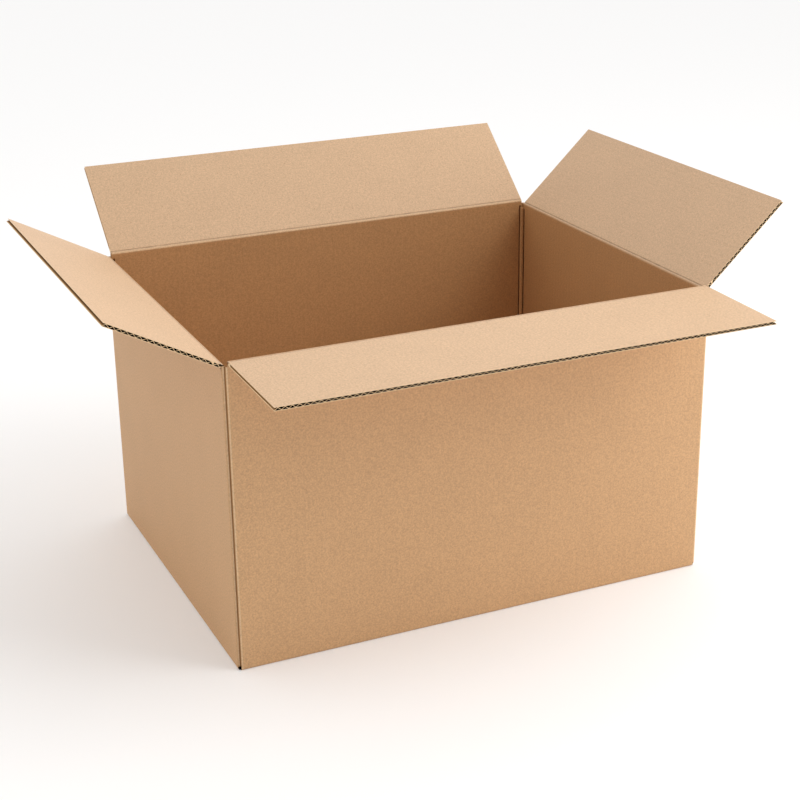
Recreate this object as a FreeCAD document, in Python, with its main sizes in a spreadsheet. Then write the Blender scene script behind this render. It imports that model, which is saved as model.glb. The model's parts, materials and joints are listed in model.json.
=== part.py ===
import FreeCAD, Part
import Sketcher
import os

# Open slotted carton of single-wall corrugated board, folded from one blank.
# Frame: X along the length, front long wall at -Y, +Z up, origin at the middle of the base.
# The board is folded into four walls and a closed bottom. The four top flaps turn on
# pressed creases, so each flap is a piece of its own and the rest is one folded piece.

os.makedirs("parts", exist_ok=True)
doc = FreeCAD.newDocument("open_carton")

DRIVING_SIZES = [
    ("box_length", 600, "outside length"),
    ("box_width", 459, "outside width"),
    ("crease_height", 362, "height of the long flaps' creases"),
    ("board", 4.2, "thickness of the board"),
    ("liner", 0.45, "thickness of each face of the board"),
    ("medium", 0.4, "thickness of the wavy sheet between the faces"),
    ("flute_pitch", 7.54, "length of one wave"),
    ("running_gap", 0.3, "clearance between pieces that turn past each other"),
    ("flap_depth", 138, "crease to free edge of the top flaps"),
    ("corner_post", 5.5, "outer corner to the end of a crease"),
    ("side_gap", 0.5, "end of a crease to the side edge of its flap"),
    ("crease_bead", 0.6, "radius of the pressed spine of a crease"),
    ("wall_mitre", 45, "slope of the pressed board on the wall side of a crease"),
    ("flap_mitre", 42, "slope of the pressed board on the flap side of a crease"),
    ("hang_angle", 157, "turn from upright at which a flap would touch its wall"),
    ("crush_width", 8, "flattened flutes beside a crease"),
    ("corner_drop", 2.5, "long crease down to the cut corner between two flaps"),
    ("slot_depth", 12, "long crease down to the plain wall"),
    ("fold_radius", 3.4, "outside radius of the upright folds"),
    ("bead_radius", 2.8, "crushed board inside each upright fold"),
    ("bead_offset", 1.9, "inner corner to the centre of its bead"),
    ("valley_start", 3.2, "inner corner to the near side of the pressed valley"),
    ("valley_width", 2.4, "width of the valley, partly under the bead"),
    ("valley_depth", 1.6, "depth of the valley into the wall"),
    ("joint_radius", 2.5, "outside radius of the fold that carries the glue tab"),
    ("joint_edge", 3.4, "left wall face to the cut edge of the front wall"),
    ("joint_round", 1.4, "rounding of that cut edge"),
    ("tab_width", 38, "left wall face to the end of the glue tab"),
    ("tab_slant", 14, "drop of the slanted ends of the glue tab"),
    ("foot_radius", 3, "outside radius of the bottom folds"),
    ("foot_inset", 3, "outer corner to the end of a bottom fold"),
    ("foot_height", 4.6, "base to the cut corner beside a bottom fold"),
    ("ramp_run", 12, "length over which an end flap climbs on to the long flaps"),
    ("bottom_flap", 229, "crease to free edge of the end flaps in the bottom"),
    ("seam_gap", 1, "gap between the long bottom flaps"),
    ("seam_offset", 1.5, "middle line to the seam in the bottom"),
    ("front_angle", 91, "front flap from upright"),
    ("back_angle", 50, "back flap from upright"),
    ("left_angle", 62, "left flap from upright"),
    ("right_angle", 47, "right flap from upright"),
]

sizes = doc.addObject("Spreadsheet::Sheet", "sizes")
for row, (alias, size, meaning) in enumerate(DRIVING_SIZES, start=1):
    sizes.set(f"A{row}", meaning)
    sizes.set(f"B{row}", str(size))
    sizes.setAlias(f"B{row}", alias)
doc.recompute()

# Places that more than one piece is built from
HALF_LENGTH = "(sizes.box_length / 2)"
HALF_WIDTH = "(sizes.box_width / 2)"
INNER_LENGTH = "(sizes.box_length / 2 - sizes.board)"
INNER_WIDTH = "(sizes.box_width / 2 - sizes.board)"
BODY_SIDE = "(sizes.board - sizes.crease_bead)"
LONG_CREASE = "sizes.crease_height"
END_CREASE = "(sizes.crease_height - sizes.board - sizes.running_gap)"
CORNER_TOP = "(sizes.crease_height - sizes.corner_drop)"
WALL_TOP = "(sizes.crease_height - sizes.slot_depth)"
LONG_CREASE_SPAN = "(sizes.box_length - 2 * sizes.corner_post)"
END_CREASE_SPAN = "(sizes.box_width - 2 * sizes.corner_post)"
LONG_FLAP_WIDTH = f"({LONG_CREASE_SPAN} - 2 * sizes.side_gap)"
END_FLAP_WIDTH = f"({END_CREASE_SPAN} - 2 * sizes.side_gap)"
RELIEF_ANGLE = "(90 - sizes.hang_angle / 2)"
RELIEF_RUN = f"(sizes.crease_bead / tan({RELIEF_ANGLE}))"


def value(expression):
    return float(sizes.evalExpression(expression))


def origin_feature(body, role):
    for feature in body.Origin.OriginFeatures:
        if feature.Role == role:
            return feature
    raise ValueError(f"{body.Label} has no {role}")


def new_body(name):
    body = doc.addObject("PartDesign::Body", name)
    body.Label = name
    return body


def new_sketch(body, name, plane, lift="0"):
    sketch = body.newObject("Sketcher::SketchObject", name)
    sketch.AttachmentSupport = [(origin_feature(body, plane), "")]
    sketch.MapMode = "FlatFace"
    sketch.setExpression("AttachmentOffset.Base.z", lift)
    doc.recompute()
    return sketch


def place_point(sketch, edge, end, across, up):
    """Ties one end of an edge to two sizes, both measured from the sketch's origin."""
    for kind, expression in (("DistanceX", across), ("DistanceY", up)):
        constraint = Sketcher.Constraint(kind, -1, 1, edge, end, value(expression))
        index = sketch.addConstraint(constraint)
        sketch.setExpression(f"Constraints[{index}]", expression)


def draw_outline(sketch, corners, centres=None):
    """Draws a closed outline. centres maps the corner where an arc starts to its centre."""
    centres = centres or {}
    spots = [FreeCAD.Vector(value(across), value(up), 0) for across, up in corners]
    first = sketch.GeometryCount
    count = len(corners)
    for index, spot in enumerate(spots):
        following = spots[(index + 1) % count]
        if index in centres:
            centre_across, centre_up, turn = centres[index]
            centre = FreeCAD.Vector(value(centre_across), value(centre_up), 0)
            sketch.addGeometry(arc_between(spot, following, centre, turn), False)
        else:
            sketch.addGeometry(Part.LineSegment(spot, following), False)
    for index, (across, up) in enumerate(corners):
        edge = first + index
        before = first + (index - 1) % count
        start = start_end(index, centres)[0]
        finish = start_end((index - 1) % count, centres)[1]
        sketch.addConstraint(Sketcher.Constraint("Coincident", before, finish, edge, start))
        place_point(sketch, edge, start, across, up)
    for index, (centre_across, centre_up, turn) in centres.items():
        tie_centre(sketch, first + index, corners[index], centre_across, centre_up)


def start_end(index, centres):
    """A clockwise arc is stored the other way round, so its ends change places."""
    clockwise = index in centres and centres[index][2] == "clockwise"
    return (2, 1) if clockwise else (1, 2)


def arc_between(start, finish, centre, turn):
    first, last = (finish, start) if turn == "clockwise" else (start, finish)
    radius = (start - centre).Length
    circle = Part.Circle(centre, FreeCAD.Vector(0, 0, 1), radius)
    return Part.ArcOfCircle(circle, circle.parameter(first), circle.parameter(last))


def tie_centre(sketch, edge, corner, centre_across, centre_up):
    """Both ends are placed already, so one more size settles the arc."""
    reach_across = abs(value(centre_across) - value(corner[0]))
    reach_up = abs(value(centre_up) - value(corner[1]))
    if reach_across >= reach_up:
        constraint = Sketcher.Constraint("DistanceX", -1, 1, edge, 3, value(centre_across))
        expression = centre_across
    else:
        constraint = Sketcher.Constraint("DistanceY", -1, 1, edge, 3, value(centre_up))
        expression = centre_up
    index = sketch.addConstraint(constraint)
    sketch.setExpression(f"Constraints[{index}]", expression)


def draw_circle(sketch, across, up, radius):
    centre = FreeCAD.Vector(value(across), value(up), 0)
    circle = Part.Circle(centre, FreeCAD.Vector(0, 0, 1), value(radius))
    edge = sketch.addGeometry(circle, False)
    place_point(sketch, edge, 3, across, up)
    index = sketch.addConstraint(Sketcher.Constraint("Radius", edge, value(radius)))
    sketch.setExpression(f"Constraints[{index}]", radius)


def add_pad(body, sketch, name, length, symmetric=False, backward=False):
    pad = body.newObject("PartDesign::Pad", name)
    pad.Profile = sketch
    pad.setExpression("Length", length)
    pad.Midplane = symmetric
    pad.Reversed = backward
    doc.recompute()
    return pad


def add_pocket(body, sketch, name, length, symmetric=False, backward=False):
    volume_before = body.Shape.Volume
    pocket = body.newObject("PartDesign::Pocket", name)
    pocket.Profile = sketch
    pocket.setExpression("Length", length)
    pocket.Midplane = symmetric
    pocket.Reversed = backward
    doc.recompute()
    if body.Shape.Volume >= volume_before:
        raise ValueError(f"{name} removes nothing")
    return pocket


def mirrored(corners, centres=None):
    """The same outline on the other side of the vertical axis."""
    swapped = {"clockwise": "anticlockwise", "anticlockwise": "clockwise"}
    other = [(f"-({across})", up) for across, up in corners]
    other_centres = {
        index: (f"-({across})", up, swapped[turn])
        for index, (across, up, turn) in (centres or {}).items()
    }
    return other, other_centres


def draw_pair(sketch, corners, centres=None):
    draw_outline(sketch, corners, centres)
    other, other_centres = mirrored(corners, centres)
    draw_outline(sketch, other, other_centres)


# Walls

def draw_wall_ring(sketch):
    """Plan of the four walls. The cut edge of the front wall shows one open flute."""
    left = f"-{HALF_LENGTH}"
    front = f"-{HALF_WIDTH}"
    front_inside = f"-{INNER_WIDTH}"
    cut_edge = f"{left} + sizes.joint_edge"
    fold = "sizes.fold_radius"
    joint = "sizes.joint_radius"
    outside = [
        (f"{cut_edge} + sizes.joint_round", front),
        (f"{HALF_LENGTH} - {fold}", front),
        (HALF_LENGTH, f"{front} + {fold}"),
        (HALF_LENGTH, f"{HALF_WIDTH} - {fold}"),
        (f"{HALF_LENGTH} - {fold}", HALF_WIDTH),
        (f"{left} + {fold}", HALF_WIDTH),
        (left, f"{HALF_WIDTH} - {fold}"),
        (left, f"{front_inside} + {joint}"),
        (f"{left} + {joint}", front_inside),
        (cut_edge, front_inside),
        (cut_edge, f"{front_inside} - sizes.liner"),
        (f"{cut_edge} + sizes.flute_pitch / 4", f"{front} + sizes.joint_round + sizes.medium"),
        (cut_edge, f"{front} + sizes.joint_round"),
    ]
    folds = {
        1: (f"{HALF_LENGTH} - {fold}", f"{front} + {fold}", "anticlockwise"),
        3: (f"{HALF_LENGTH} - {fold}", f"{HALF_WIDTH} - {fold}", "anticlockwise"),
        5: (f"{left} + {fold}", f"{HALF_WIDTH} - {fold}", "anticlockwise"),
        7: (f"{left} + {joint}", f"{front_inside} + {joint}", "anticlockwise"),
        12: (
            f"{cut_edge} + sizes.joint_round",
            f"{front} + sizes.joint_round",
            "anticlockwise",
        ),
    }
    draw_outline(sketch, outside, folds)
    inside = [
        (f"-{INNER_LENGTH}", front_inside),
        (INNER_LENGTH, front_inside),
        (INNER_LENGTH, INNER_WIDTH),
        (f"-{INNER_LENGTH}", INNER_WIDTH),
    ]
    draw_outline(sketch, inside)


def draw_rim(sketch, half_span, crease):
    """Section of a wall's top edge: pressed slope inside, relief outside, round spine."""
    axis = f"{half_span} - sizes.crease_bead"
    bead = "sizes.crease_bead"
    corners = [
        (half_span, WALL_TOP),
        (half_span, f"{crease} - {RELIEF_RUN}"),
        (
            f"{axis} + {bead} * sin({RELIEF_ANGLE})",
            f"{crease} - {bead} * cos({RELIEF_ANGLE})",
        ),
        (
            f"{axis} - {bead} * sin(sizes.wall_mitre)",
            f"{crease} - {bead} * cos(sizes.wall_mitre)",
        ),
        (
            f"{axis} - {BODY_SIDE}",
            f"{crease} - {BODY_SIDE} / tan(sizes.wall_mitre)",
        ),
        (f"{axis} - {BODY_SIDE}", WALL_TOP),
    ]
    draw_pair(sketch, corners, {2: (axis, crease, "anticlockwise")})


def cut_top_slots(body):
    """Lowers the walls between the corners, where the creases are built up again."""
    slot_top = f"{CORNER_TOP} + sizes.board"
    spans = (
        ("end_wall_cut", "YZ_Plane", f"{END_CREASE_SPAN} / 2", "sizes.box_length * 2"),
        ("long_wall_cut", "XZ_Plane", f"{LONG_CREASE_SPAN} / 2", "sizes.box_width * 2"),
    )
    for name, plane, half_span, length in spans:
        sketch = new_sketch(body, f"{name}_outline", plane)
        corners = [
            (f"-({half_span})", WALL_TOP),
            (half_span, WALL_TOP),
            (half_span, slot_top),
            (f"-({half_span})", slot_top),
        ]
        draw_outline(sketch, corners)
        add_pocket(body, sketch, name, length, symmetric=True)


def add_rims(body):
    long_rims = new_sketch(body, "long_rim_section", "YZ_Plane")
    draw_rim(long_rims, HALF_WIDTH, LONG_CREASE)
    add_pad(body, long_rims, "long_rims", LONG_CREASE_SPAN, symmetric=True)
    end_rims = new_sketch(body, "end_rim_section", "XZ_Plane")
    draw_rim(end_rims, HALF_LENGTH, END_CREASE)
    add_pad(body, end_rims, "end_rims", END_CREASE_SPAN, symmetric=True)


def add_corner_beads(body):
    """Inside an upright fold the board is crushed into a round bead between two valleys."""
    quarters = (("1", "1"), ("-1", "1"), ("1", "-1"))
    valleys = new_sketch(body, "corner_valley_plan", "XY_Plane", "sizes.foot_height")
    for right, back in quarters:
        draw_valleys(valleys, right, back)
    height = f"{LONG_CREASE} - sizes.foot_height"
    add_pocket(body, valleys, "corner_valleys", height, backward=True)
    beads = new_sketch(body, "corner_bead_plan", "XY_Plane", "sizes.foot_height")
    for right, back in quarters:
        across = f"{right} * ({INNER_LENGTH} - sizes.bead_offset)"
        up = f"{back} * ({INNER_WIDTH} - sizes.bead_offset)"
        draw_circle(beads, across, up, "sizes.bead_radius")
    bead_top = f"({END_CREASE} - {BODY_SIDE} - sizes.running_gap)"
    add_pad(body, beads, "corner_beads", f"{bead_top} - sizes.foot_height")


def draw_valleys(sketch, right, back):
    """One valley in the end wall and one in the long wall. right and back pick the corner."""
    near = "sizes.valley_start"
    middle = "(sizes.valley_start + sizes.valley_width / 2)"
    far = "(sizes.valley_start + sizes.valley_width)"
    depth = "sizes.valley_depth"
    in_end_wall = [
        (f"{right} * {INNER_LENGTH}", f"{back} * ({INNER_WIDTH} - {near})"),
        (f"{right} * ({INNER_LENGTH} + {depth})", f"{back} * ({INNER_WIDTH} - {middle})"),
        (f"{right} * {INNER_LENGTH}", f"{back} * ({INNER_WIDTH} - {far})"),
    ]
    in_long_wall = [
        (f"{right} * ({INNER_LENGTH} - {near})", f"{back} * {INNER_WIDTH}"),
        (f"{right} * ({INNER_LENGTH} - {middle})", f"{back} * ({INNER_WIDTH} + {depth})"),
        (f"{right} * ({INNER_LENGTH} - {far})", f"{back} * {INNER_WIDTH}"),
    ]
    draw_outline(sketch, in_end_wall)
    draw_outline(sketch, in_long_wall)


def add_glue_tab(body):
    """The left wall ends in a tab that is glued to the inner face of the front wall."""
    sketch = new_sketch(body, "glue_tab_outline", "XZ_Plane", INNER_WIDTH)
    left = f"-{HALF_LENGTH}"
    fold_side = f"{left} + sizes.board / 2"
    free_side = f"{left} + sizes.tab_width"
    low = "2 * sizes.board + sizes.running_gap"
    corners = [
        (fold_side, low),
        (free_side, f"{low} + sizes.tab_slant"),
        (free_side, f"{WALL_TOP} - sizes.tab_slant"),
        (fold_side, WALL_TOP),
    ]
    draw_outline(sketch, corners)
    add_pad(body, sketch, "glue_tab", "sizes.board", backward=True)


# Bottom

RAMP_SLOPE = "(sizes.board / (sizes.ramp_run - sizes.foot_radius))"
RAMP_STRETCH = f"sqrt(1 + {RAMP_SLOPE} ^ 2)"


def draw_foot(sketch, half_span):
    """Section of a rounded bottom fold, from the wall down to the base."""
    foot = "sizes.foot_radius"
    corners = [
        (half_span, "sizes.foot_height"),
        (f"{half_span} - sizes.board", "sizes.foot_height"),
        (f"{half_span} - sizes.board", "0"),
        (f"{half_span} - {foot}", "0"),
        (half_span, foot),
    ]
    draw_pair(sketch, corners, {3: (f"{half_span} - {foot}", foot, "anticlockwise")})


def draw_end_bottom_flaps(sketch):
    """An end flap leaves its fold at the base and climbs on to the long flaps."""
    lift = f"(sizes.board - sizes.foot_radius) * {RAMP_SLOPE} + sizes.board * {RAMP_STRETCH}"
    set_back = f"sizes.board * ({RAMP_STRETCH} - 1) / {RAMP_SLOPE}"
    corners = [
        (f"{HALF_LENGTH} - sizes.foot_radius", "0"),
        (f"{HALF_LENGTH} - sizes.foot_radius", lift),
        (INNER_LENGTH, lift),
        (f"{HALF_LENGTH} - sizes.ramp_run + {set_back}", "2 * sizes.board"),
        (f"{HALF_LENGTH} - sizes.bottom_flap", "2 * sizes.board"),
        (f"{HALF_LENGTH} - sizes.bottom_flap", "sizes.board"),
        (f"{HALF_LENGTH} - sizes.ramp_run", "sizes.board"),
    ]
    draw_pair(sketch, corners)


def draw_long_bottom_flaps(sketch):
    half_span = f"{HALF_LENGTH} - sizes.ramp_run"
    seam_front = "sizes.seam_offset"
    seam_back = "sizes.seam_offset + sizes.seam_gap"
    fold_line = f"{HALF_WIDTH} - sizes.foot_radius"
    for near, far in ((f"-({fold_line})", seam_front), (seam_back, fold_line)):
        corners = [
            (f"-({half_span})", near),
            (half_span, near),
            (half_span, far),
            (f"-({half_span})", far),
        ]
        draw_outline(sketch, corners)


def add_bottom(body):
    long_feet = new_sketch(body, "long_foot_section", "YZ_Plane")
    draw_foot(long_feet, HALF_WIDTH)
    long_span = "sizes.box_length - 2 * sizes.foot_inset"
    add_pad(body, long_feet, "long_feet", long_span, symmetric=True)
    end_feet = new_sketch(body, "end_foot_section", "XZ_Plane")
    draw_foot(end_feet, HALF_LENGTH)
    end_span = "sizes.box_width - 2 * sizes.foot_inset"
    add_pad(body, end_feet, "end_feet", end_span, symmetric=True)
    long_flaps = new_sketch(body, "long_bottom_flap_plan", "XY_Plane")
    draw_long_bottom_flaps(long_flaps)
    add_pad(body, long_flaps, "long_bottom_flaps", "sizes.board")
    end_flaps = new_sketch(body, "end_bottom_flap_section", "XZ_Plane")
    draw_end_bottom_flaps(end_flaps)
    inner_span = f"2 * ({INNER_WIDTH} - sizes.running_gap)"
    add_pad(body, end_flaps, "end_bottom_flaps", inner_span, symmetric=True)


def make_box_body():
    body = new_body("box_body")
    ring = new_sketch(body, "wall_plan", "XY_Plane", "sizes.foot_height")
    draw_wall_ring(ring)
    add_pad(body, ring, "wall_ring", f"{CORNER_TOP} - sizes.foot_height")
    cut_top_slots(body)
    add_rims(body)
    add_corner_beads(body)
    add_glue_tab(body)
    add_bottom(body)
    return body


# Top flaps, each drawn about its crease: X along it, Y out to the free edge, +Z inner face

INNER_FACE = BODY_SIDE
OUTER_FACE = "(-sizes.crease_bead)"
CORE_TOP = f"({INNER_FACE} - sizes.liner)"
CORE_BOTTOM = f"({OUTER_FACE} + sizes.liner)"


def draw_flap_section(sketch):
    """Seat round the crease's spine, pressed slopes beside it, then the full board."""
    seat = "(sizes.crease_bead + sizes.running_gap)"
    corners = [
        (f"{seat} * cos({RELIEF_ANGLE})", f"-{seat} * sin({RELIEF_ANGLE})"),
        (RELIEF_RUN, OUTER_FACE),
        ("sizes.flap_depth", OUTER_FACE),
        ("sizes.flap_depth", INNER_FACE),
        (f"{INNER_FACE} / tan(sizes.flap_mitre)", INNER_FACE),
        (f"{seat} * cos(sizes.flap_mitre)", f"{seat} * sin(sizes.flap_mitre)"),
    ]
    draw_outline(sketch, corners, {5: ("0", "0", "clockwise")})


def draw_flute_pair(sketch, start, pitch, step):
    """Open ends of one wave: a hollow above the wavy sheet and one below it."""
    half_base = f"({pitch} / 2 - sizes.medium / 2)"
    above = [
        (f"{start} - {half_base}", CORE_TOP),
        (f"{start} + {half_base}", CORE_TOP),
        (start, f"{CORE_BOTTOM} + sizes.medium"),
    ]
    middle = f"{start} + {step} * {pitch} / 2"
    below = [
        (f"{middle} - {half_base}", CORE_BOTTOM),
        (f"{middle} + {half_base}", CORE_BOTTOM),
        (middle, f"{CORE_TOP} - sizes.medium"),
    ]
    draw_outline(sketch, above)
    draw_outline(sketch, below)


def repeat_along(body, feature, role, length, occurrences, backward=False):
    volume_before = body.Shape.Volume
    pattern = body.newObject("PartDesign::LinearPattern", f"{feature.Name}_row")
    pattern.Originals = [feature]
    pattern.Direction = (origin_feature(body, role), [""])
    pattern.Reversed = backward
    pattern.setExpression("Length", length)
    pattern.setExpression("Occurrences", occurrences)
    body.Tip = pattern
    doc.recompute()
    if body.Shape.Volume >= volume_before:
        raise ValueError(f"{pattern.Name} removes nothing")


def cut_flutes_across(body, width):
    """Flutes that run from the crease to the free edge, open there and at both sides."""
    waves = f"round({width} / sizes.flute_pitch)"
    pitch = f"({width} / {waves})"
    sketch = new_sketch(body, f"{body.Name}_flute_ends", "XZ_Plane", "-sizes.flap_depth")
    draw_flute_pair(sketch, f"-{width} / 2", pitch, 1)
    length = "sizes.flap_depth - sizes.crush_width"
    pocket = add_pocket(body, sketch, f"{body.Name}_flute", length, backward=True)
    repeat_along(body, pocket, "X_Axis", width, f"{waves} + 1")


def cut_flutes_along(body, width):
    """Flutes that run beside the crease, open at both sides and at the free edge."""
    waves = "floor((sizes.flap_depth - sizes.crush_width) / sizes.flute_pitch)"
    pitch = "sizes.flute_pitch"
    sketch = new_sketch(body, f"{body.Name}_flute_ends", "YZ_Plane")
    draw_flute_pair(sketch, "sizes.flap_depth", pitch, -1)
    pocket = add_pocket(body, sketch, f"{body.Name}_flute", f"{width} * 2", symmetric=True)
    length = f"({waves} - 1) * {pitch}"
    repeat_along(body, pocket, "Y_Axis", length, waves, backward=True)


def make_flap(name, width, crease, heading, turn, cut_flutes):
    """heading turns the flap about +Z to its wall, turn is its angle from upright."""
    body = new_body(name)
    section = new_sketch(body, f"{name}_section", "YZ_Plane")
    draw_flap_section(section)
    add_pad(body, section, f"{name}_board", width, symmetric=True)
    cut_flutes(body, width)
    across, along, up = crease
    tilt = f"90 - sizes.{turn}"
    place = f"placement(vector({across}; {along}; {up}); rotation({heading}; 0; {tilt}))"
    body.setExpression("Placement", place)
    return body


def check_document():
    for item in doc.Objects:
        if "Invalid" in item.State or "Error" in item.State:
            raise ValueError(f"{item.Label} failed: {item.State}")


def write_part(body):
    shape = body.Shape
    if shape.isNull() or not shape.isValid():
        raise ValueError(f"{body.Label} has no valid shape")
    if len(shape.Solids) != 1:
        raise ValueError(f"{body.Label} has {len(shape.Solids)} solids")
    shape.exportStep(f"parts/{body.Label}.step")


long_axis = f"({HALF_WIDTH} - sizes.crease_bead)"
end_axis = f"({HALF_LENGTH} - sizes.crease_bead)"
pieces = [
    make_box_body(),
    make_flap(
        "front_flap", LONG_FLAP_WIDTH, ("0", f"-{long_axis}", LONG_CREASE),
        180, "front_angle", cut_flutes_across,
    ),
    make_flap(
        "back_flap", LONG_FLAP_WIDTH, ("0", long_axis, LONG_CREASE),
        0, "back_angle", cut_flutes_across,
    ),
    make_flap(
        "left_flap", END_FLAP_WIDTH, (f"-{end_axis}", "0", END_CREASE),
        90, "left_angle", cut_flutes_along,
    ),
    make_flap(
        "right_flap", END_FLAP_WIDTH, (end_axis, "0", END_CREASE),
        -90, "right_angle", cut_flutes_along,
    ),
]
doc.recompute()
check_document()
for piece in pieces:
    write_part(piece)
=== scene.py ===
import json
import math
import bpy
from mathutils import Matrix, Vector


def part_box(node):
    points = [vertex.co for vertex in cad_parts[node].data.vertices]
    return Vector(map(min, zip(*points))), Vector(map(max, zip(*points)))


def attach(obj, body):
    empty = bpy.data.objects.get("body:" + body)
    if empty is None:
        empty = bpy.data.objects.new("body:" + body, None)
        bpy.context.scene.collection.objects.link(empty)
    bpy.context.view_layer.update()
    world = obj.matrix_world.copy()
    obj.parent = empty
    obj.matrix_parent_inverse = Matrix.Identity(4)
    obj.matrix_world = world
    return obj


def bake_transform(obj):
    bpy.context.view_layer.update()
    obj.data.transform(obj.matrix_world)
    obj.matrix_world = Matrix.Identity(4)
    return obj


bl_info = {
    "name": "Open carton",
    "version": (1, 0, 0),
    "blender": (4, 5, 0),
    "location": "3D View > Sidebar > Carton",
    "description": "Kraft board, creased liners and a plain studio for an open carton",
    "category": "Object",
}

import bmesh
import bpy
from bpy.props import FloatProperty, FloatVectorProperty, PointerProperty
from mathutils import Matrix, Vector, noise

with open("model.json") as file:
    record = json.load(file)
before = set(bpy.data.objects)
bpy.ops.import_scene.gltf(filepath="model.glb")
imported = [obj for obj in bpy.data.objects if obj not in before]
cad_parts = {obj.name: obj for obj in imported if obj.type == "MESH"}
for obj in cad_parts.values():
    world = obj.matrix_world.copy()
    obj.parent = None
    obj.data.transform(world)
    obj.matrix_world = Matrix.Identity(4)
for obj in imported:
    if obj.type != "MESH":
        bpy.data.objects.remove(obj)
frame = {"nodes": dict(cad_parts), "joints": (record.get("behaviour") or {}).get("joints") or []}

MM = 0.001
BODY = "box_body"
FLAPS = {
    "front_flap": "front_flap_hinge",
    "back_flap": "back_flap_hinge",
    "left_flap": "left_flap_hinge",
    "right_flap": "right_flap_hinge",
}
# The end flaps' flutes lie beside their crease, and the long flaps' run out from theirs.
FLUTES_BESIDE_CREASE = ("left_flap", "right_flap")
# Crease strip attributes: wall's paper share, painted highlight share, painted shade share
WALL_SHARE = "wall_share"
BEND_HIGHLIGHT = "bend"
SCORE_SHADE = "score"
UP = Vector((0, 0, 1))

# Unglazed kraft paper
PAPER_ROUGHNESS = 0.62
PAPER_IOR = 1.5
PAPER_SHEEN = 0.5
# Sizes of the paper's pattern, in millimetres
CLOUD_SIZE = 60
FIBRE_SIZE = 2
FLECK_CELL = 9
FIBRE_RELIEF = 0.10
CLOUD_SHARE = 0.1
FLECK_STRENGTH = 0.55

# Depth of the cut layers that show at a flap's edges, in millimetres
CUT_DEPTH = 0.05
# Half the height at which a drawn wave reads as paper, in millimetres
DRAWN_WAVE = 0.45

# The pressed line beside a fold: millimetres from the spine and share of the line's depth, which
# also sets the share of its painted shade
SCORE_LINE = ((0.3, 0), (0.7, 1), (1.6, 1), (2.0, 0))
BEND_STEPS = 8
# Share of pale paint over the bend, stretched paper and painted highlight, and share of
# painted shade in the pressed line. A crease across the flutes stretches the paper more
# than one that runs beside them, and gets far more of the painted highlight.
TONES_ACROSS_FLUTES = (0.9, 0.45)
TONES_BESIDE_FLUTES = (0.1, 0.5)
OUTER_BULGE = 0.3
ROWS_PER_FLUTE = 4
FLUTE_RIPPLE = 0.3
# Lengths over which a strip's waviness and the pressed line's painted shade change, in millimetres
WAVINESS_LENGTH = 9
TONE_LENGTH = 14
# Paper that the knife spreads beside the wave and beside the outer liner
WAVE_SPREAD = 1.25
LINER_SPREAD = 1.5
# Just inside the cut, in millimetres, so that the board's own cut layers stay in front
CUT_INSET = 0.04

# Studio, in metres
SWEEP_HALF = 12.0
LAMP_AZIMUTH = math.radians(-37)
LAMP_REACH = 2.5
LAMP_SIZE = 1.5
LAMP_AIM = Vector((0, 0, 0.2))
KEY_HEIGHT = math.radians(45)
FILL_HEIGHT = math.radians(15)


def linear(hex_colour):
    """sRGB hex to the linear values that the shaders work in."""
    channels = [int(hex_colour[start : start + 2], 16) / 255 for start in (1, 3, 5)]
    return tuple(
        level / 12.92 if level <= 0.04045 else ((level + 0.055) / 1.055) ** 2.4
        for level in channels
    )


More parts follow.
